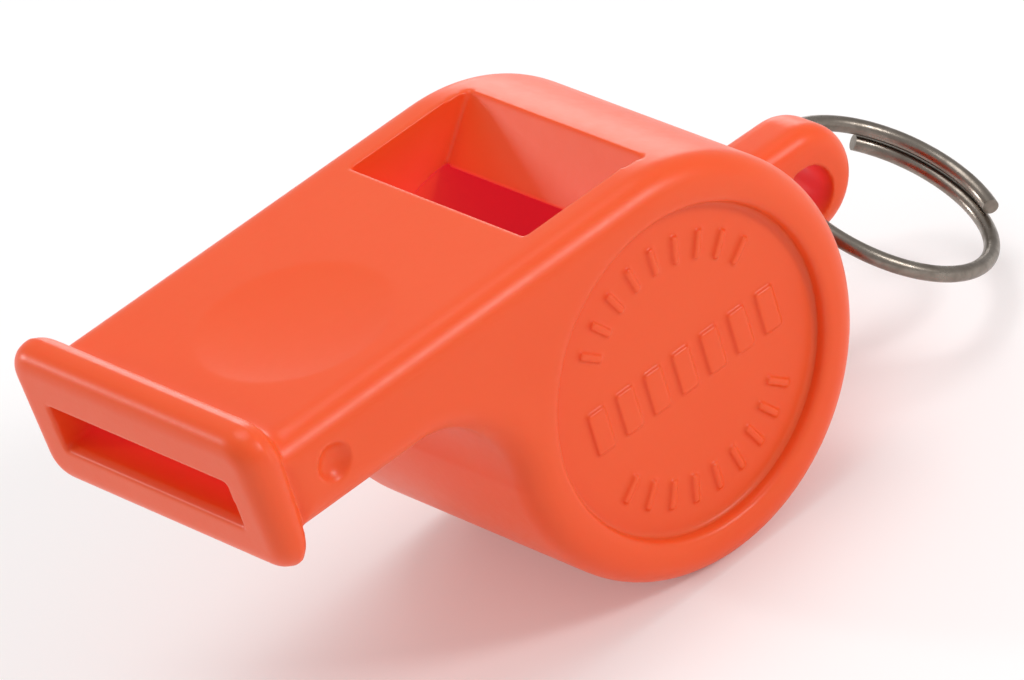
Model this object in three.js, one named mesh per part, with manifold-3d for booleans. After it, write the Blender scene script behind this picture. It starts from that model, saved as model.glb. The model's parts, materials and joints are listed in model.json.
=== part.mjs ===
// A pea whistle: a moulded body with a mouthpiece and a round chamber, a side cap that closes the
// chamber, a loose pea inside it, and a split ring through the lug. Millimetres. X runs from the mouth
// to the lug, Y across the whistle (the cap is on the -Y side) and Z up.
import * as THREE from "three";
import { mergeVertices } from "three/addons/utils/BufferGeometryUtils.js";
import Module from "manifold-3d";

const wasm = await Module();
wasm.setup();

// Driving dimensions. Heights are measured down from the flat top face, lengths back from the mouth.
const bodyWidth = 21;
const barrelRadius = 12.7;
const barrelBack = 30.1; // mouth to the barrel's axis
const mouthpieceHeight = 6.1;
const throatRadius = 6; // hollow between the mouthpiece and the barrel
const edgeRadius = 1.9; // rounding all round both flat sides

const lipLength = 2.7; // the bite lip round the mouth, along X
const lipRise = 1.75; // above the top face
const lipDrop = 1.75; // below the underside
const lipProud = 0.4; // beyond each flat side
const lipCorner = 2; // corner radius, seen from the front
const lipLean = 4.2; // degrees that the front face leans back towards its lower edge
const lipRound = 1.1; // rounding of its front and back edges

const barrelWall = 3.7; // between the chamber and the barrel's surface
const sideWall = 1.5; // chamber wall on the closed side, and the cap's thickness
const seatLedge = 0.8; // how far the cap reaches past the chamber all round
const recessDepth = 1; // both round side panels sit this far below the flat side
const capClearance = 0.1;

const windwayHeight = 3;
const windwayShift = 0.1; // below the middle of the mouthpiece
const windowLength = 6.3;
const windowInset = 0.3; // from each side of the chamber to the window
const labiumInset = 0.1; // the sharp edge that splits the air is this far before the barrel's axis
const rampRun = 0.92; // along X, for each millimetre that the ramp climbs
const leadIn = 0.45; // chamfer on the lower edge of the mouth

const lugWidth = 4.2;
const lugReach = 4.6; // from the barrel's surface to the centre of the lug's round end
const lugSag = 0.35; // of that centre below the barrel's axis
const lugTipRadius = 3.4;
const lugRootRadius = 3.7;
const lugRound = 1.3;
const ringHoleRadius = 1.8;
const ringHoleInset = 0.5; // from the round end's centre towards the barrel
const ringHoleSag = 0.45; // and below it

const dimpleRadius = 1.2;
const dimpleDepth = 0.65;
const dimpleBack = 5.7;
const dimpleRise = 0.05; // above the middle of the mouthpiece
const dishLength = 11.5; // the thumb dish in the top face
const dishWidth = 12;
const dishDepth = 0.35;
const dishBack = 11.4;
const dishShift = -1.6;

const peaRadius = 5;
const peaClearance = 0.25;

const wireRadius = 0.5;
const ringRadius = 7.1; // to the middle of the wire
const turnGap = 0.08; // between one turn and the next
const ringOverlap = 82; // degrees that the second turn runs on past the first
const ringStart = 74; // degrees from the far side of the ring to the first end
const ringSwing = 30; // degrees that the ring hangs below the lug's line
const ringLeanTowards = 23; // degrees, how much of the ring's lean is a turn to one side
const ringGap = 0.1; // left between the leaning wire and the hole's rims
const ringSlackBack = 0.2; // how far the wire lies off the hole's middle
const ringSlackDown = 0.15;

const across = bodyWidth / 2;
const recessFloor = across - recessDepth;
const chamberHalf = recessFloor - sideWall;
const chamberRadius = barrelRadius - barrelWall;
const recessRadius = chamberRadius + seatLedge;
const windwayTop = (mouthpieceHeight - windwayHeight) / 2 + windwayShift;
const floor = -windwayTop - windwayHeight;
const labiumBack = barrelBack - labiumInset;
const windowLip = labiumBack - windowLength; // where the windway opens under the window
const lugTipBack = barrelBack + barrelRadius + lugReach;
const lugTipDrop = barrelRadius + lugSag;
const holeBack = lugTipBack - ringHoleInset;
const holeDrop = lugTipDrop + ringHoleSag;
const through = 3; // how far a cutter runs past the face that it cuts
const deg = Math.PI / 180;

// Booleans

function toSolid(geometry) {
  const bare = geometry.clone();
  bare.deleteAttribute("normal");
  bare.deleteAttribute("uv");
  const merged = mergeVertices(bare, 1e-4);
  const mesh = new wasm.Mesh({
    numProp: 3,
    vertProperties: new Float32Array(merged.attributes.position.array),
    triVerts: new Uint32Array(merged.index.array),
  });
  return new wasm.Manifold(mesh);
}

function toGeometry(solid) {
  const mesh = solid.getMesh();
  const geometry = new THREE.BufferGeometry();
  geometry.setAttribute("position", new THREE.BufferAttribute(mesh.vertProperties, 3));
  geometry.setIndex(new THREE.BufferAttribute(mesh.triVerts, 1));
  geometry.computeVertexNormals();
  return geometry;
}

// Shapes

// The outline's corner points, without the doubles that are left where an arc meets a line.
function outline(shape, segments) {
  const points = shape.getPoints(segments);
  const apart = points.filter((p, i) => p.distanceTo(points.at(i - 1)) > 1e-3);
  return new THREE.Shape(apart);
}

// A side outline drawn in X and Z, given its width across the whistle and the rounding of its edges.
function slab(shape, width, round, segments = 40) {
  const geometry = new THREE.ExtrudeGeometry(outline(shape, segments), {
    depth: width - 2 * round,
    steps: 1,
    bevelEnabled: round > 0,
    bevelThickness: round,
    bevelSize: round,
    bevelOffset: -round,
    bevelSegments: 4,
  });
  geometry.translate(0, 0, round - width / 2);
  geometry.rotateX(Math.PI / 2);
  return geometry;
}

// A drum whose axis lies across the whistle, between two places on Y.
function drum(radius, back, drop, low, high, segments) {
  const geometry = new THREE.CylinderGeometry(radius, radius, high - low, segments);
  geometry.translate(back, (low + high) / 2, -drop);
  return geometry;
}

// The body

function sideOutline() {
  const drop = mouthpieceHeight + throatRadius - barrelRadius;
  const reach = barrelRadius + throatRadius;
  const throatBack = barrelBack - Math.sqrt(reach * reach - drop * drop);
  const touch = Math.atan2(drop, barrelBack - throatBack);
  const shape = new THREE.Shape();
  shape.moveTo(lipRound, 0);
  shape.lineTo(barrelBack, 0);
  shape.absarc(barrelBack, -barrelRadius, barrelRadius, Math.PI / 2, Math.PI - touch - 2 * Math.PI, true);
  shape.absarc(throatBack, -mouthpieceHeight - throatRadius, throatRadius, touch, Math.PI / 2, false);
  shape.lineTo(lipRound, -mouthpieceHeight);
  shape.closePath();
  return shape;
}

function lipGeometry() {
  const halfWidth = across + lipProud;
  const top = lipRise;
  const bottom = -mouthpieceHeight - lipDrop;
  const c = lipCorner;
  const shape = new THREE.Shape();
  shape.moveTo(halfWidth, bottom + c);
  shape.lineTo(halfWidth, top - c);
  shape.absarc(halfWidth - c, top - c, c, 0, Math.PI / 2, false);
  shape.absarc(c - halfWidth, top - c, c, Math.PI / 2, Math.PI, false);
  shape.absarc(c - halfWidth, bottom + c, c, Math.PI, 1.5 * Math.PI, false);
  shape.absarc(halfWidth - c, bottom + c, c, 1.5 * Math.PI, 2 * Math.PI, false);
  const geometry = new THREE.ExtrudeGeometry(outline(shape, 6), {
    depth: lipLength - 2 * lipRound,
    bevelThickness: lipRound,
    bevelSize: lipRound,
    bevelOffset: -lipRound,
    bevelSegments: 4,
  });
  geometry.translate(0, 0, lipRound);
  geometry.applyMatrix4(new THREE.Matrix4().makeBasis(
    new THREE.Vector3(0, 1, 0), new THREE.Vector3(0, 0, 1), new THREE.Vector3(1, 0, 0)));
  // The front leans back below the top face, and the back of the lip stays upright.
  const place = geometry.attributes.position;
  for (let i = 0; i < place.count; i++) {
    const share = 1 - place.getX(i) / lipLength;
    place.setX(i, place.getX(i) - place.getZ(i) * Math.tan(lipLean * deg) * share);
  }
  return geometry;
}

function lugGeometry() {
  const tip = new THREE.Vector2(lugTipBack, -lugTipDrop);
  const root = new THREE.Vector2(barrelBack + chamberRadius, -lugTipDrop);
  const lean = Math.asin((lugRootRadius - lugTipRadius) / tip.distanceTo(root));
  const shape = new THREE.Shape();
  shape.moveTo(root.x, root.y + lugRootRadius);
  shape.lineTo(root.x, root.y - lugRootRadius);
  shape.absarc(tip.x, tip.y, lugTipRadius, -Math.PI / 2 + lean, Math.PI / 2 - lean, false);
  shape.closePath();
  return slab(shape, lugWidth, lugRound, 16);
}

// What the window takes out: straight sides, a square front edge and the sloping ramp at the back.
function windowCutter() {
  const rise = through;
  const shape = new THREE.Shape();
  shape.moveTo(windowLip, floor);
  shape.lineTo(labiumBack, floor);
  shape.lineTo(labiumBack, -barrelWall);
  shape.lineTo(labiumBack + rampRun * (barrelWall + rise), rise);
  shape.lineTo(windowLip, rise);
  shape.closePath();
  return slab(shape, 2 * (chamberHalf - windowInset), 0);
}

function windwayCutter() {
  const shape = new THREE.Shape();
  shape.moveTo(-through, -windwayTop);
  shape.lineTo(windowLip + windowLength / 2, -windwayTop);
  shape.lineTo(windowLip + windowLength / 2, floor);
  shape.lineTo(leadIn * 2, floor);
  shape.lineTo(-through, floor - leadIn - through / 2);
  shape.closePath();
  return slab(shape, 2 * chamberHalf, 0);
}

function dimple(side) {
  const sphere = (dimpleRadius ** 2 + dimpleDepth ** 2) / (2 * dimpleDepth);
  const geometry = new THREE.SphereGeometry(sphere, 24, 16);
  geometry.rotateX(Math.PI / 2);
  const drop = mouthpieceHeight / 2 - dimpleRise;
  geometry.translate(dimpleBack, side * (across - dimpleDepth + sphere), -drop);
  return geometry;
}

function thumbDish() {
  const bulge = 4; // how many dish depths tall the scoop is
  const height = dishDepth * bulge;
  const grow = 1 / Math.sqrt(1 - (1 - 1 / bulge) ** 2);
  const geometry = new THREE.SphereGeometry(1, 40, 24);
  geometry.rotateX(Math.PI / 2);
  geometry.scale((dishLength / 2) * grow, (dishWidth / 2) * grow, height);
  geometry.translate(dishBack, dishShift, height - dishDepth);
  return geometry;
}

function bodyGeometry() {
  const drop = barrelRadius;
  const added = [lipGeometry(), lugGeometry()];
  const cut = [
    windwayCutter(),
    windowCutter(),
    drum(chamberRadius, barrelBack, drop, -recessFloor - through, chamberHalf, 56),
    drum(recessRadius + capClearance, barrelBack, drop, -across - through, -chamberHalf, 64),
    drum(recessRadius + capClearance, barrelBack, drop, recessFloor, across + through, 64),
    drum(ringHoleRadius, holeBack, holeDrop, -across, across, 24),
    dimple(-1),
    dimple(1),
    thumbDish(),
  ];
  let solid = toSolid(slab(sideOutline(), bodyWidth, edgeRadius));
  for (const piece of added) solid = solid.add(toSolid(piece));
  for (const piece of cut) solid = solid.subtract(toSolid(piece));
  return toGeometry(solid);
}

// The loose pieces

// The cap is a disc that seats on the ledge inside the round opening.
function capGeometry() {
  const inner = -chamberHalf - capClearance;
  return drum(recessRadius, barrelBack, barrelRadius, -recessFloor, inner, 64);
}

function peaGeometry() {
  const geometry = new THREE.SphereGeometry(peaRadius, 32, 20);
  geometry.rotateX(Math.PI / 2);
  return geometry;
}

// One wire wound a little over one turn. The middle of the second crossing passes through the origin,
// where the lug's hole is, and the ring lies along +X of it.
class RingCurve extends THREE.Curve {
  getPoint(t, target = new THREE.Vector3()) {
    const angle = (ringStart - t * (360 + ringOverlap)) * deg;
    const height = (-(2 * wireRadius + turnGap) * (angle + Math.PI)) / (2 * Math.PI);
    return target.set(ringRadius * (1 + Math.cos(angle)), ringRadius * Math.sin(angle), height);
  }
}

function ringGeometry() {
  const section = new THREE.Shape();
  section.absarc(0, 0, wireRadius, 0, 2 * Math.PI, false);
  return new THREE.ExtrudeGeometry(outline(section, 10), {
    steps: 56,
    extrudePath: new RingCurve(),
  });
}

// Materials and assembly

const orange = new THREE.MeshStandardMaterial({ color: 0xf2542d, roughness: 0.38, metalness: 0 });
const capOrange = orange.clone();
const cork = new THREE.MeshStandardMaterial({ color: 0xb98a5a, roughness: 0.9, metalness: 0 });
const steel = new THREE.MeshStandardMaterial({ color: 0x8a8378, roughness: 0.3, metalness: 1 });

function named(name, geometry, material) {
  const mesh = new THREE.Mesh(geometry, material);
  mesh.name = name;
  return mesh;
}

const whistle = new THREE.Group();
whistle.add(named("body_shell", bodyGeometry(), orange));
whistle.add(named("side_cap", capGeometry(), capOrange));

const pea = named("pea", peaGeometry(), cork);
const peaOrbit = chamberRadius - peaRadius - peaClearance;
pea.position.set(barrelBack, 0, -barrelRadius - peaOrbit);
whistle.add(pea);

// The ring leans until its curved wire is almost at the rims of the hole.
const ring = named("split_ring", ringGeometry(), steel);
const bow = ringRadius - Math.sqrt(ringRadius ** 2 - (lugWidth / 2) ** 2);
const lean = Math.atan((ringHoleRadius - wireRadius - bow - ringGap) / (lugWidth / 2));
const tilt = lean * Math.cos(ringLeanTowards * deg);
const turn = -lean * Math.sin(ringLeanTowards * deg);
ring.rotation.set(tilt, ringSwing * deg, turn, "YXZ");
ring.position.set(holeBack - ringSlackBack, 0, -holeDrop - ringSlackDown);
whistle.add(ring);

// The whole object stands on z = 0 with its bounding box centred on the origin.
const box = new THREE.Box3().setFromObject(whistle, true);
const centre = box.getCenter(new THREE.Vector3());
whistle.position.set(-centre.x, -centre.y, -box.min.z);

export default whistle;
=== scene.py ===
import json
from math import atan2, cos, hypot, pi, radians, sin, sqrt

import bpy
from mathutils import Matrix, Vector


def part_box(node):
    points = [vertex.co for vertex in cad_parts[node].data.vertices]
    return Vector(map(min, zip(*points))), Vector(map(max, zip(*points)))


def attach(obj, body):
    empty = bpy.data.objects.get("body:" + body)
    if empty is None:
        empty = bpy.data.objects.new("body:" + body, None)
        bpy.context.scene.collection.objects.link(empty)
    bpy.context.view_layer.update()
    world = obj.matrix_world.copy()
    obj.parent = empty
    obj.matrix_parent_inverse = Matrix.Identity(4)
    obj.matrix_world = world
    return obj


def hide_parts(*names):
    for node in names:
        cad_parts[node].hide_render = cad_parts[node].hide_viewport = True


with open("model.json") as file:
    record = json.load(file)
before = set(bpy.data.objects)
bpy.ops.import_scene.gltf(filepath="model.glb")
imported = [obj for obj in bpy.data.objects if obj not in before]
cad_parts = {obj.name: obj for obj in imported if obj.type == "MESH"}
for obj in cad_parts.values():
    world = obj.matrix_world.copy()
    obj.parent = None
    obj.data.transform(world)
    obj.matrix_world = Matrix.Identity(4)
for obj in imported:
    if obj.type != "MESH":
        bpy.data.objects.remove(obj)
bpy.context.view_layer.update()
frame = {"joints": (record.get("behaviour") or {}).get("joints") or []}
print("frame loaded")

joints = {joint["name"]: joint for joint in frame["joints"]}
axle = Vector(joints["pea_orbit"]["pos_m"])  # the middle of the chamber
lugHole = Vector(joints["ring_swing"]["pos_m"])

# Lengths are in millimetres, measured back from the mouth and down from the top face.
body = {
    "width": 21, "barrelRadius": 12.7, "barrelBack": 30.1, "mouthpieceHeight": 6.1, "throatRadius": 6,
    "edgeRadius": 1.9, "edgeShape": 0.525,  # 0.5 is a true quarter round
    "chamberRadius": 9, "chamberHalf": 8,
    "recessRadius": 9.9, "recessDepth": 1, "recessFillet": 0.35,
    "windwayTop": 1.65, "windwayHeight": 3, "windwayPast": 0.4,  # how far it runs on into the window
    "leadIn": 0.45, "flareRun": 4, "flareDrop": 2,  # the sloped lower edge inside the mouth
    "windowLip": 23.7, "windowWidth": 15.4, "windowOver": 3, "labiumBack": 29.85, "rampRun": 0.92,
    "dimpleRadius": 1.2, "dimpleDepth": 0.65, "dimpleBack": 5.7, "dimpleDrop": 3,
    "dishLength": 11.5, "dishWidth": 12, "dishDepth": 0.35, "dishBack": 11.4, "dishShift": -1.6,
    "grain": 0.14, "passes": 2, "triangles": 190000,
}
coarse = 1
mouthX = axle.x - body["barrelBack"] / 1000
topZ = axle.z + body["barrelRadius"] / 1000


def at(back, across, drop):
    return Vector((mouthX + back / 1000, across / 1000, topZ - drop / 1000))


# Modelling helpers

def deselectAll():
    if bpy.context.object and bpy.context.object.mode != "OBJECT":
        bpy.ops.object.mode_set(mode="OBJECT")
    bpy.ops.object.select_all(action="DESELECT")


def take(obj):
    deselectAll()
    obj.select_set(True)
    bpy.context.view_layer.objects.active = obj
    return obj


def settle(name):
    obj = take(bpy.context.object)
    obj.name = name
    bpy.ops.object.transform_apply(location=True, rotation=True, scale=True)
    return obj


def block(name, low, high):
    deselectAll()
    bpy.ops.mesh.primitive_cube_add(size=1, location=(low + high) / 2, scale=high - low)
    return settle(name)


def drum(name, radius, low, high, vertices=192):  # its axis lies across the whistle
    deselectAll()
    bpy.ops.mesh.primitive_cylinder_add(
        vertices=vertices, radius=radius / 1000, depth=(high - low).y,
        location=(low + high) / 2, rotation=(pi / 2, 0, 0))
    return settle(name)


def ball(name, centre, sizes):
    deselectAll()
    bpy.ops.mesh.primitive_uv_sphere_add(
        segments=128, ring_count=64, radius=0.001, location=centre, scale=sizes)
    return settle(name)


def pick(obj, test, edges=False):  # leaves edit mode on, with only what passes selected
    take(obj)
    bpy.ops.object.mode_set(mode="EDIT")
    bpy.ops.mesh.select_mode(type="EDGE" if edges else "VERT")
    bpy.ops.mesh.select_all(action="DESELECT")
    bpy.ops.object.mode_set(mode="OBJECT")
    points = obj.data.vertices
    if edges:
        for edge in obj.data.edges:
            edge.select = all(test(points[i].co) for i in edge.vertices)
    else:
        for point in points:
            point.select = test(point.co)
    bpy.ops.object.mode_set(mode="EDIT")


def extrudeBy(offset):
    bpy.ops.mesh.extrude_region_move(TRANSFORM_OT_translate={"value": offset})


def roundOff(obj, test, radius, segments, profile=0.5):
    pick(obj, test, edges=True)
    bpy.ops.mesh.bevel(offset=radius / 1000, segments=segments, profile=profile, affect="EDGES")
    bpy.ops.object.mode_set(mode="OBJECT")


def soften(obj, test, repeat):
    pick(obj, test)
    bpy.ops.mesh.vertices_smooth(factor=0.5, repeat=repeat)
    bpy.ops.object.mode_set(mode="OBJECT")


def modify(obj, kind, **settings):
    take(obj)
    modifier = obj.modifiers.new(kind.lower(), kind)
    for key, value in settings.items():
        setattr(modifier, key, value)
    bpy.ops.object.modifier_apply(modifier=modifier.name)


def combine(obj, tool, operation):
    modify(obj, "BOOLEAN", object=tool, operation=operation, solver="EXACT")
    bpy.data.objects.remove(tool)


def thin(obj, triangles):
    count = sum(len(face.vertices) - 2 for face in obj.data.polygons)
    if count > triangles:
        modify(obj, "DECIMATE", ratio=triangles / count)


def near(value, target, slack=1e-5):
    return abs(value - target) < slack


# The moulded body

def bodySlab():
    radius = body["barrelRadius"]
    reach = radius + body["throatRadius"]
    drop = body["mouthpieceHeight"] + body["throatRadius"] - radius
    throatBack = body["barrelBack"] - sqrt(reach ** 2 - drop ** 2)
    touch = atan2(drop, body["barrelBack"] - throatBack)  # how far off level they meet
    half = body["width"] / 2
    start = lip["length"] / 2
    deselectAll()
    bpy.ops.mesh.primitive_circle_add(
        vertices=180, radius=radius / 1000,
        location=at(body["barrelBack"], -half, radius), rotation=(pi / 2, 0, 0))
    slab = settle("whistle_body")
    touchPoint = at(body["barrelBack"] - radius * cos(touch), -half, radius - radius * sin(touch))
    pick(slab, lambda p: p.x < axle.x - 1e-5 and p.z > touchPoint.z - 1e-4)
    bpy.ops.mesh.delete(type="VERT")
    pick(slab, lambda p: near(p.x, axle.x) and p.z > axle.z)
    extrudeBy((at(start, 0, 0).x - axle.x, 0, 0))
    bpy.ops.object.mode_set(mode="OBJECT")
    lower = [p.co.copy() for p in slab.data.vertices if p.co.x < axle.x and p.co.z < axle.z + 0.002]
    last = max(lower, key=lambda p: p.z)
    pick(slab, lambda p: (p - last).length < 1e-6)
    extrudeBy(touchPoint - last)
    throat = at(throatBack, -half, body["mouthpieceHeight"] + body["throatRadius"])
    bpy.ops.mesh.spin(steps=32, angle=pi / 2 - touch, center=throat, axis=(0, 1, 0))
    extrudeBy((at(start, 0, 0).x - throat.x, 0, 0))
    bpy.ops.mesh.select_all(action="SELECT")
    bpy.ops.mesh.remove_doubles(threshold=1e-6)
    bpy.ops.mesh.edge_face_add()
    extrudeBy((0, body["width"] / 1000, 0))
    bpy.ops.mesh.select_all(action="SELECT")
    bpy.ops.mesh.normals_make_consistent(inside=False)
    for side in (-half, half):
        roundOff(slab, lambda p: near(p.y, side / 1000), body["edgeRadius"], 10, body["edgeShape"])
    return slab


lip = {
    "length": 2.7, "rise": 1.75, "drop": 1.75, "proud": 0.4, "corner": 2,
    "round": 1.1, "frontRound": 1.4, "lean": 4.2,
}


def lipPiece():
    half = body["width"] / 2 + lip["proud"]
    low = at(0, -half, body["mouthpieceHeight"] + lip["drop"])
    high = at(lip["length"], half, -lip["rise"])
    piece = block("lip", low, high)
    pick(piece, lambda p: near(p.x, low.x))
    bpy.ops.transform.rotate(value=radians(lip["lean"]), orient_axis="Y", center_override=at(0, 0, 0))
    bpy.ops.object.mode_set(mode="OBJECT")
    for side in (-half, half):
        for level in (low.z, high.z):
            roundOff(piece, lambda p: near(p.y, side / 1000) and near(p.z, level, 2e-4), lip["corner"], 8)
    middle = at(lip["length"] / 2, 0, 0).x
    roundOff(piece, lambda p: p.x < middle, lip["frontRound"], 8)
    roundOff(piece, lambda p: near(p.x, high.x), lip["round"], 6)
    return piece


lug = {
    "width": 4.2, "tipBack": 47.4, "tipDrop": 13.05, "tipRadius": 3.4,
    "rootRadius": 3.7, "rootSpread": 1.5, "round": 1.3, "holeRadius": 1.8,
}


def lugPiece():
    half, tip = lug["width"] / 2, lug["tipRadius"]
    low = at(body["barrelBack"] + body["chamberRadius"], -half, lug["tipDrop"] + tip)
    high = at(lug["tipBack"] + tip, half, lug["tipDrop"] - tip)
    piece = block("lug", low, high)
    pick(piece, lambda p: near(p.x, low.x))
    bpy.ops.transform.resize(value=(1, 1, lug["rootRadius"] / tip), center_override=at(0, 0, lug["tipDrop"]))
    for level in (low.z, high.z):
        roundOff(piece, lambda p: near(p.x, high.x) and near(p.z, level), tip - 0.01, 24)
    for side in (-half, half):
        roundOff(piece, lambda p: near(p.y, side / 1000) and p.x > low.x - 1e-6, lug["round"], 6)
    return piece


def windowTool():
    floor = body["windwayTop"] + body["windwayHeight"]
    half = body["windowWidth"] / 2
    edge = body["barrelRadius"] - body["chamberRadius"]
    rise = edge + body["windowOver"]
    tool = block("window", at(body["windowLip"], -half, floor), at(body["labiumBack"], half, edge))
    pick(tool, lambda p: near(p.z, at(0, 0, edge).z))
    extrudeBy((0, 0, rise / 1000))
    pick(tool, lambda p: near(p.z, at(0, 0, edge - rise).z) and near(p.x, at(body["labiumBack"], 0, 0).x))
    bpy.ops.transform.translate(value=(body["rampRun"] * rise / 1000, 0, 0))
    bpy.ops.object.mode_set(mode="OBJECT")
    return tool


def windwayTool():
    floor = body["windwayTop"] + body["windwayHeight"]
    inner, lead = body["chamberHalf"], 2 * body["leadIn"]
    end = body["windowLip"] + body["windwayPast"]
    tool = block("windway", at(lead, -inner, floor), at(end, inner, body["windwayTop"]))
    pick(tool, lambda p: near(p.x, at(lead, 0, 0).x))
    extrudeBy((-body["flareRun"] / 1000, 0, 0))
    pick(tool, lambda p: p.x < at(0, 0, 0).x and near(p.z, at(0, 0, floor).z))
    bpy.ops.transform.translate(value=(0, 0, -body["flareDrop"] / 1000))
    bpy.ops.object.mode_set(mode="OBJECT")
    return tool


def recessTool(side, over=0):
    half, depth = body["width"] / 2, body["recessDepth"]
    low, high = sorted((side * (half - depth), side * (half + 3)))
    radius = body["barrelRadius"]
    back = body["barrelBack"]
    tool = drum("recess", body["recessRadius"] + over, at(back, low, radius), at(back, high, radius))
    floor = side * (half - depth) / 1000
    roundOff(tool, lambda p: near(p.y, floor), body["recessFillet"], 8)
    return tool


def dimpleTool(side):
    depth = body["dimpleDepth"]
    radius = (body["dimpleRadius"] ** 2 + depth ** 2) / (2 * depth)
    centre = at(body["dimpleBack"], side * (body["width"] / 2 - depth + radius), body["dimpleDrop"])
    return ball("dimple", centre, (radius, radius, radius))


def dishTool():
    bulge = 4  # how many dish depths tall the scoop is
    height = bulge * body["dishDepth"]
    grow = 1 / sqrt(1 - (1 - 1 / bulge) ** 2)
    centre = at(body["dishBack"], body["dishShift"], body["dishDepth"] - height)
    return ball("dish", centre, (body["dishLength"] / 2 * grow, body["dishWidth"] / 2 * grow, height))


def bodyPiece():
    piece = bodySlab()
    combine(piece, lipPiece(), "UNION")
    combine(piece, lugPiece(), "UNION")
    half, radius, back = body["width"] / 2, body["barrelRadius"], body["barrelBack"]
    inner = body["chamberHalf"]
    sideways = Vector((0, 0.01, 0))
    tools = [
        windwayTool(),
        windowTool(),
        drum("chamber", body["chamberRadius"], at(back, -half, radius), at(back, inner, radius)),
        drum("opening", body["recessRadius"], at(back, -half - 3, radius), at(back, -inner, radius)),
        recessTool(1),
        drum("hole", lug["holeRadius"], lugHole - sideways, lugHole + sideways, 64),
        dimpleTool(-1),
        dimpleTool(1),
        dishTool(),
    ]
    for tool in tools:
        combine(piece, tool, "DIFFERENCE")
    modify(piece, "REMESH", mode="VOXEL", voxel_size=body["grain"] * coarse / 1000)
    finishBody(piece)
    return piece


seams = {  # how far to each side the surface is softened, how deep, and how many times
    "lipTop": (1.1, 0.4, 60), "lipUnder": (0.7, 0.3, 20), "panelRim": (1, 0.8, 50), "lugRoot": (1.2, 0, 40),
}


def softenSeam(piece, name, aside, below):
    reach, depth, passes = seams[name]
    soften(piece, lambda p: abs(aside(p)) < reach / 1000 and below(p) < depth / 1000, passes)


def finishBody(piece):
    soften(piece, lambda p: True, body["passes"])
    lipEnd = at(lip["length"], 0, 0).x
    underside = at(0, 0, body["mouthpieceHeight"]).z
    rim, half = body["recessRadius"] / 1000, body["width"] / 2000
    root = axle.x + body["barrelRadius"] / 1000
    lugHalf = (lug["width"] / 2 + lug["round"]) / 1000
    lugTall = (lug["rootRadius"] + lug["rootSpread"]) / 1000
    softenSeam(piece, "lipTop", lambda p: p.x - lipEnd, lambda p: topZ - p.z)
    softenSeam(piece, "lipUnder", lambda p: p.x - lipEnd, lambda p: p.z - underside)
    softenSeam(piece, "panelRim", lambda p: hypot(p.x - axle.x, p.z - axle.z) - rim,
               lambda p: half - abs(p.y))
    softenSeam(piece, "lugRoot", lambda p: p.x - root,
               lambda p: max(abs(p.y) - lugHalf, abs(p.z - axle.z) - lugTall))
    thin(piece, body["triangles"])
    take(piece)
    bpy.ops.object.shade_smooth()


bodyShell = bodyPiece()
print("body modelled", len(bodyShell.data.polygons))
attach(bodyShell, "whistle")
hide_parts("body_shell")


# The cap that closes the chamber

cap = {
    "radius": 10.05, "back": 8.1, "ease": 0.04,  # how much wider its dished face is than the recess
    "grain": 0.1, "passes": 3, "triangles": 140000,
    "barHeight": 0.24, "arcRadius": 7.4, "arcBars": 9, "arcStep": 13, "arcBar": (0.45, 1.7),
    "rowBars": 7, "rowStep": 2.2, "rowBar": (1.3, 2.7),
}


def bar(spot, size, angle=pi / 2):
    half = Vector((size[0] / 2, cap["barHeight"], size[1] / 2)) / 1000
    piece = block("bar", spot - half, spot + half)
    pick(piece, lambda p: True)
    bpy.ops.transform.rotate(value=angle - pi / 2, orient_axis="Y", center_override=spot)
    bpy.ops.object.mode_set(mode="OBJECT")
    return piece


def capPiece():
    radius, back = body["barrelRadius"], body["barrelBack"]
    outer = body["width"] / 2 - body["recessDepth"] + body["recessFillet"]
    piece = drum("whistle_cap", cap["radius"], at(back, -outer, radius), at(back, -cap["back"], radius))
    combine(piece, recessTool(-1, cap["ease"]), "DIFFERENCE")
    face = Vector((axle.x, -(body["width"] / 2 - body["recessDepth"]) / 1000, axle.z))
    bars = []
    for middle in (90, -90):
        for i in range(cap["arcBars"]):
            angle = radians(middle + (i - (cap["arcBars"] - 1) / 2) * cap["arcStep"])
            spot = face + Vector((cos(angle), 0, sin(angle))) * cap["arcRadius"] / 1000
            bars.append(bar(spot, cap["arcBar"], angle))
    for i in range(cap["rowBars"]):
        spot = face + Vector(((i - (cap["rowBars"] - 1) / 2) * cap["rowStep"], 0, 0)) / 1000
        bars.append(bar(spot, cap["rowBar"]))
    for extra in bars:
        combine(piece, extra, "UNION")
    modify(piece, "REMESH", mode="VOXEL", voxel_size=cap["grain"] * coarse / 1000)
    soften(piece, lambda p: True, cap["passes"])
    thin(piece, cap["triangles"])
    take(piece)
    bpy.ops.object.shade_smooth()
    return piece


whistleCap = capPiece()
print("cap modelled", len(whistleCap.data.polygons))
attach(whistleCap, "whistle")
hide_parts("side_cap")


# The split ring

ring = {
    "wireRadius": 0.49, "radius": 7.09, "pitch": 1.08, "start": 74, "overlap": 82,
    "tilt": 21.8, "swing": 30, "turn": -8.9, "slackBack": 0.2, "slackDown": 0.15,
    "steps": 260, "sides": 28,
}


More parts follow.
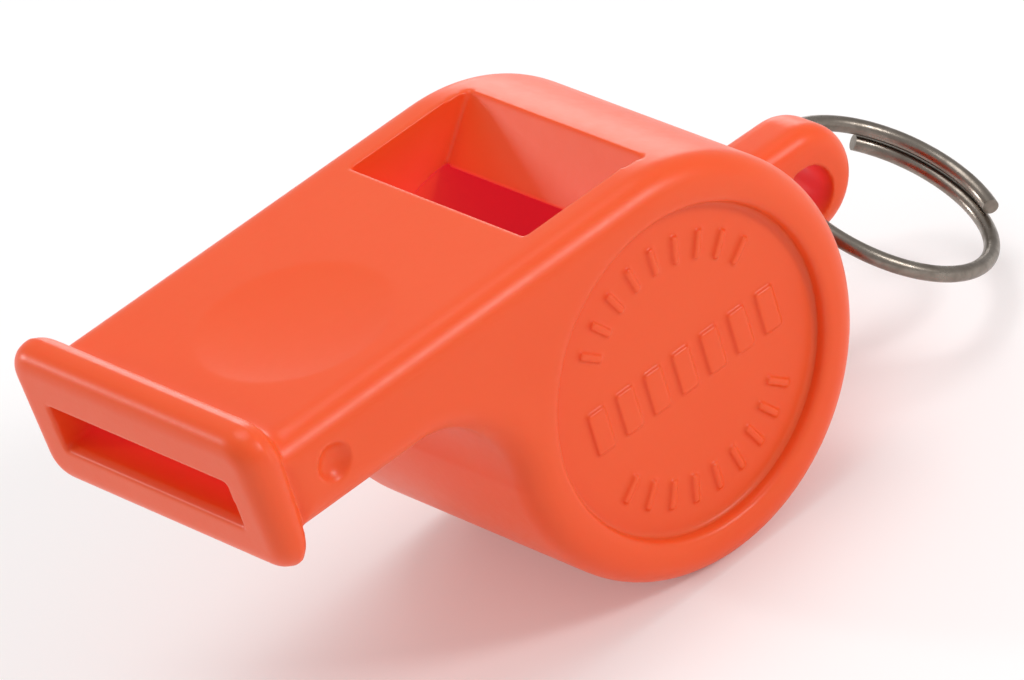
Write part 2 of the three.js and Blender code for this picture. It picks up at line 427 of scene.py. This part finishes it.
def ringPiece():
    turns = 360 + ring["overlap"]
    last = radians(ring["start"] - turns)
    radius = ring["radius"] / 1000
    height = -ring["pitch"] / 1000 * (last + pi) / (2 * pi)
    deselectAll()
    bpy.ops.mesh.primitive_circle_add(
        vertices=ring["sides"], radius=ring["wireRadius"] / 1000,
        location=(radius, 0, height), rotation=(pi / 2, 0, 0))
    piece = settle("key_ring")
    pick(piece, lambda p: True)
    bpy.ops.transform.rotate(value=-last, orient_axis="Z", center_override=(0, 0, 0))
    bpy.ops.object.mode_set(mode="OBJECT")
    modify(piece, "SCREW", axis="Z", angle=radians(turns), screw_offset=-ring["pitch"] / 1000 * turns / 360,
           steps=ring["steps"], render_steps=ring["steps"], use_merge_vertices=False)
    closeEnds(piece)
    piece.rotation_mode = "ZXY"
    pick(piece, lambda p: True)
    bpy.ops.transform.translate(value=(radius, 0, 0))
    bpy.ops.object.mode_set(mode="OBJECT")
    piece.rotation_euler = (radians(ring["tilt"]), radians(ring["swing"]), radians(ring["turn"]))
    piece.location = lugHole - Vector((ring["slackBack"], 0, ring["slackDown"])) / 1000
    take(piece)
    bpy.ops.object.transform_apply(location=True, rotation=True, scale=True)
    bpy.ops.object.shade_smooth_by_angle(angle=radians(40))
    return piece


def closeEnds(piece):
    take(piece)
    bpy.ops.object.mode_set(mode="EDIT")
    bpy.ops.mesh.select_mode(type="EDGE")
    bpy.ops.mesh.select_all(action="DESELECT")
    bpy.ops.mesh.select_non_manifold()
    bpy.ops.mesh.edge_face_add()
    bpy.ops.mesh.select_all(action="SELECT")
    bpy.ops.mesh.normals_make_consistent(inside=False)
    bpy.ops.object.mode_set(mode="OBJECT")


keyRing = ringPiece()
print("ring modelled", len(keyRing.data.polygons))
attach(keyRing, "ring")
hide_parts("split_ring")


# The pea

pea = {"fill": 0.985, "poreDepth": 0.16, "poreSize": 1.1, "poreLevel": 0.6}


def peaPiece():
    low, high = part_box("pea")
    deselectAll()
    bpy.ops.mesh.primitive_ico_sphere_add(
        subdivisions=6, radius=(high - low).z / 2 * pea["fill"], location=(low + high) / 2)
    piece = settle("cork_pea")
    grain = bpy.data.textures.new("cork_pores", "VORONOI")
    grain.noise_scale = pea["poreSize"] / 1000
    modify(piece, "DISPLACE", texture=grain, texture_coords="LOCAL",
           strength=pea["poreDepth"] / 1000, mid_level=pea["poreLevel"])
    take(piece)
    bpy.ops.object.shade_smooth()
    return piece


corkPea = peaPiece()
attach(corkPea, "pea")
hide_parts("pea")
print("pea modelled", len(corkPea.data.polygons))


# Materials

class Wire:  # an output socket that can be used in sums
    def __init__(self, paint, socket):
        self.paint = paint
        self.socket = socket

    def __add__(self, other):
        return self.paint.math("ADD", self, other)

    def __sub__(self, other):
        return self.paint.math("SUBTRACT", self, other)

    def __rsub__(self, other):
        return self.paint.math("SUBTRACT", other, self)

    def __mul__(self, other):
        return self.paint.math("MULTIPLY", self, other)

    __radd__ = __add__
    __rmul__ = __mul__


class Paint:  # one material: its shader's fixed values, and the nodes behind the others
    def __init__(self, name, **fixed):
        self.material = bpy.data.materials.new(name)
        self.material.use_nodes = True
        self.nodes = self.material.node_tree.nodes
        self.shader = self.nodes["Principled BSDF"]
        self.place = self.add("TexCoord", output="Object")
        for key, value in fixed.items():
            self.shader.inputs[key.replace("_", " ")].default_value = value

    def math(self, operation, *values):
        return self.add("Math", {"operation": operation}, dict(enumerate(values)))

    def add(self, kind, settings=None, inputs=None, output=0):
        node = self.nodes.new("ShaderNode" + kind)
        for key, value in (settings or {}).items():
            setattr(node, key, value)
        for key, value in (inputs or {}).items():
            self.feed(node.inputs[key], value)
        return Wire(self, node.outputs[output])

    def feed(self, socket, value):
        if isinstance(value, Wire):
            self.material.node_tree.links.new(value.socket, socket)
        else:
            socket.default_value = value

    def noise(self, scale, detail=2, roughness=0.5):
        return self.add("TexNoise", None, {
            "Vector": self.place, "Scale": scale, "Detail": detail, "Roughness": roughness})

    def cells(self, scale, output="Distance"):
        return self.add("TexVoronoi", None, {"Vector": self.place, "Scale": scale}, output)

    def bump(self, height, strength, distance):
        return self.add("Bump", None, {"Height": height, "Strength": strength, "Distance": distance})

    def mask(self, value, low, high):  # 0 at low, 1 at high
        return self.add("MapRange", None, {"Value": value, "From Min": low, "From Max": high})

    def within(self, value, edge, fade):  # 1 below the edge, 0 from one fade beyond it
        return self.mask(value, edge + fade, edge)

    def mix(self, factor, first, second):
        return self.add("Mix", {"data_type": "RGBA"}, {0: factor, 6: first, 7: second}, 2)

    def finish(self, piece, **sockets):
        for key, value in sockets.items():
            self.feed(self.shader.inputs[key.replace("_", " ")], value)
        piece.data.materials.clear()
        piece.data.materials.append(self.material)


# paintedGlow is painted light: a red emission in the hollows standing in for light passing through the walls
# and bouncing inside
moulding = {
    "colour": (0.86, 0.097, 0.019, 1), "deep": (0.84, 0.083, 0.013, 1), "speck": (0.36, 0.03, 0.012, 1),
    "roughness": 0.34, "haze": 0.1, "paintedGlow": (0.2, 0.009, 0.02, 1),
    "flowScale": 90, "speckScale": 420.0, "rare": 0.985, "hazeScale": 1500, "skinScale": 2600,
    "rippleScale": 420, "skinDepth": 0.00002,
}
hollows = {  # where the painted glow fades in, in mm
    "wallFade": 0.2, "panelFade": 0.12, "roofFade": 0.15, "windwayEnd": 0.3, "windowStart": 0.1,
    "windowDepth": 4.5, "ramp": (0.9, -2.5), "mouth": (1, 5), "holeDepth": 0.8,
}


def paintedGlowMask(paint):  # 1 inside the hollows, where a painted glow stands in for light coming through the walls
    x, y, z = (paint.add("SeparateXYZ", None, {"Vector": paint.place}, axis) for axis in "XYZ")
    back = (x - mouthX) * 1000
    drop = (topZ - z) * 1000
    side = paint.math("ABSOLUTE", y * 1000)
    wall, roof = hollows["wallFade"], hollows["roofFade"]
    inWidth = paint.within(side, body["chamberHalf"] - 0.05, wall)
    behindAxle, underAxle = back - body["barrelBack"], drop - body["barrelRadius"]
    fromAxle = paint.math("SQRT", behindAxle * behindAxle + underAxle * underAxle)
    chamber = paint.within(fromAxle, body["chamberRadius"], wall) * inWidth
    ramp = back - body["labiumBack"] + (underAxle + body["chamberRadius"]) * body["rampRun"]
    start = body["windowLip"]
    # the window's painted glow also reaches a little onto the ramp face: painted light that lightens the
    # ramp's shadow
    window = paint.within(side, body["windowWidth"] / 2, hollows["panelFade"]) \
        * paint.mask(drop, 0, hollows["windowDepth"]) * paint.mask(ramp, *hollows["ramp"]) \
        * paint.mask(back, start - hollows["windowStart"], start)
    top, floor = body["windwayTop"], body["windwayTop"] + body["windwayHeight"]
    windway = paint.mask(back, *hollows["mouth"]) * paint.within(back, start, hollows["windwayEnd"]) \
        * paint.mask(drop, top - roof, top) * paint.within(drop, floor, roof) * inWidth
    holeX, holeZ = (x - lugHole.x) * 1000, (z - lugHole.z) * 1000
    fromHole = paint.math("SQRT", holeX * holeX + holeZ * holeZ)
    hole = paint.within(fromHole, lug["holeRadius"], wall) \
        * paint.mask(side, lug["width"] / 2, hollows["holeDepth"])
    return paint.math("MINIMUM", chamber + window + windway + hole, 1)


def paintMoulding(piece, name):
    paint = Paint(name, Specular_IOR_Level=0.36, IOR=1.49, Subsurface_Weight=0.25,
                  Subsurface_Radius=(1, 0.16, 0.1), Subsurface_Scale=0.002, Emission_Strength=1)
    flow = paint.mask(paint.noise(moulding["flowScale"], 4, 0.55), 0.35, 0.7)
    spots = paint.cells(moulding["speckScale"])
    chance = paint.add("TexWhiteNoise", None, {
        "Vector": paint.cells(moulding["speckScale"], "Position")}, "Value")
    specks = paint.mask(spots, 0.075, 0.035) * paint.mask(chance, moulding["rare"], moulding["rare"] + 0.005)
    tone = paint.mix(flow * 0.5, moulding["colour"], moulding["deep"])
    tone = paint.mix(specks, tone, moulding["speck"])
    haze = paint.noise(moulding["hazeScale"], 3)
    rough = moulding["roughness"] + (haze - 0.5) * moulding["haze"] + flow * 0.04
    skin = paint.noise(moulding["skinScale"], 4, 0.6) + paint.noise(moulding["rippleScale"], 2) * 1.5
    bump = paint.bump(skin, 0.25, moulding["skinDepth"])
    # painted glow: red emission inside the hollows, standing in for light through and between the walls
    paintedGlow = paint.mix(paintedGlowMask(paint), (0, 0, 0, 1), moulding["paintedGlow"])
    paint.finish(piece, Base_Color=tone, Roughness=rough, Emission_Color=paintedGlow, Normal=bump)


steel = {
    "colour": (0.28, 0.243, 0.208, 1), "dark": (0.12, 0.096, 0.076, 1), "roughness": 0.27,
    "stainScale": 700, "fineScale": 5200, "fineDepth": 0.00002,
}


def paintSteel(piece):
    paint = Paint("drawn_steel", Metallic=1.0)
    stain = paint.mask(paint.noise(steel["stainScale"], 5, 0.6), 0.4, 0.72)
    fine = paint.noise(steel["fineScale"], 3, 0.6)
    tone = paint.mix(stain * 0.7, steel["colour"], steel["dark"])
    rough = steel["roughness"] + stain * 0.16 + (fine - 0.5) * 0.12
    bump = paint.bump(fine, 0.3, steel["fineDepth"])
    paint.finish(piece, Base_Color=tone, Roughness=rough, Normal=bump)


cork = {
    "light": (0.56, 0.35, 0.19, 1), "dark": (0.2, 0.1, 0.045, 1), "roughness": 0.82,
    "cellScale": 900.0, "blotchScale": 520, "grainScale": 3000, "grainDepth": 0.0001,
}


def paintCork(piece):
    paint = Paint("bare_cork", Specular_IOR_Level=0.3)
    cells = paint.cells(cork["cellScale"])
    blotch = paint.mask(paint.noise(cork["blotchScale"], 5, 0.6), 0.42, 0.66)
    tone = paint.mix(blotch * 0.8, cork["light"], cork["dark"])
    bump = paint.bump(cells + paint.noise(cork["grainScale"], 4), 0.5, cork["grainDepth"])
    paint.finish(piece, Base_Color=tone, Roughness=cork["roughness"] + blotch * 0.1, Normal=bump)


paintMoulding(bodyShell, "orange_moulding")
paintMoulding(whistleCap, "orange_cap")
paintSteel(keyRing)
paintCork(corkPea)
print("materials made")


# Camera and studio

view = {
    "azimuth": -32.49, "elevation": 31.45, "roll": -17.42, "distance": 0.5728, "lens": 352,
    "aimRight": -0.0036, "aimUp": -0.0008,  # from the chamber's middle
}


def addCamera():
    turn, lift, roll = radians(view["azimuth"]), radians(view["elevation"]), radians(view["roll"])
    away = Vector((sin(turn) * cos(lift), -cos(turn) * cos(lift), sin(lift)))
    level = Vector((0, 0, 1)).cross(away).normalized()
    upright = away.cross(level)
    right = level * cos(roll) + upright * sin(roll)
    up = away.cross(right)
    spot = axle + right * view["aimRight"] + up * view["aimUp"] + away * view["distance"]
    bpy.ops.object.camera_add(location=spot)
    camera = bpy.context.object
    camera.matrix_world = Matrix((
        (right.x, up.x, away.x, spot.x),
        (right.y, up.y, away.y, spot.y),
        (right.z, up.z, away.z, spot.z),
        (0, 0, 0, 1)))
    camera.data.lens = view["lens"]
    camera.data.sensor_width = 36
    camera.data.clip_start = 0.01
    bpy.context.scene.camera = camera


addCamera()


studio = {
    "world": 0.54, "floor": (0.86, 0.86, 0.86, 1), "floorGlow": 0.1,
    "backLeft": {"towards": (-0.5, 0.82, 0.28), "distance": 0.6, "power": 0.7, "size": 0.08},
    "backRight": {"towards": (0.66, 0.72, 0.16), "distance": 0.5, "power": 0.22, "size": 0.14},
    "frontRight": {"towards": (0.46, -0.73, 0.51), "distance": 0.5, "power": 0.78, "size": 0.11},
    "overhead": {"towards": (0.1, 0.1, 1), "distance": 0.5, "power": 0.9, "size": 0.3},
}


def addLamp(name):
    values = studio[name]
    towards = Vector(values["towards"]).normalized()
    bpy.ops.object.light_add(type="AREA", location=axle + towards * values["distance"])
    lamp = bpy.context.object
    lamp.name = name
    lamp.data.energy = values["power"]
    lamp.data.size = values["size"]
    lamp.rotation_euler = towards.to_track_quat("Z", "Y").to_euler()


def addFloor():
    deselectAll()
    bpy.ops.mesh.primitive_plane_add(size=6, location=(0, 0, 0))
    ground = bpy.context.object
    ground.name = "floor"
    paint = Paint("pale_floor", Roughness=0.9, Specular_IOR_Level=0.1, Base_Color=studio["floor"],
                  Emission_Color=(1, 1, 1, 1), Emission_Strength=studio["floorGlow"])
    paint.finish(ground)


for name in ("backLeft", "backRight", "frontRight", "overhead"):
    addLamp(name)
addFloor()
world = bpy.data.worlds.new("studio")
bpy.context.scene.world = world
world.use_nodes = True
world.node_tree.nodes["Background"].inputs["Color"].default_value = (1, 1, 1, 1)
world.node_tree.nodes["Background"].inputs["Strength"].default_value = studio["world"]
bpy.context.scene.view_settings.view_transform = "Standard"
print("studio lit")
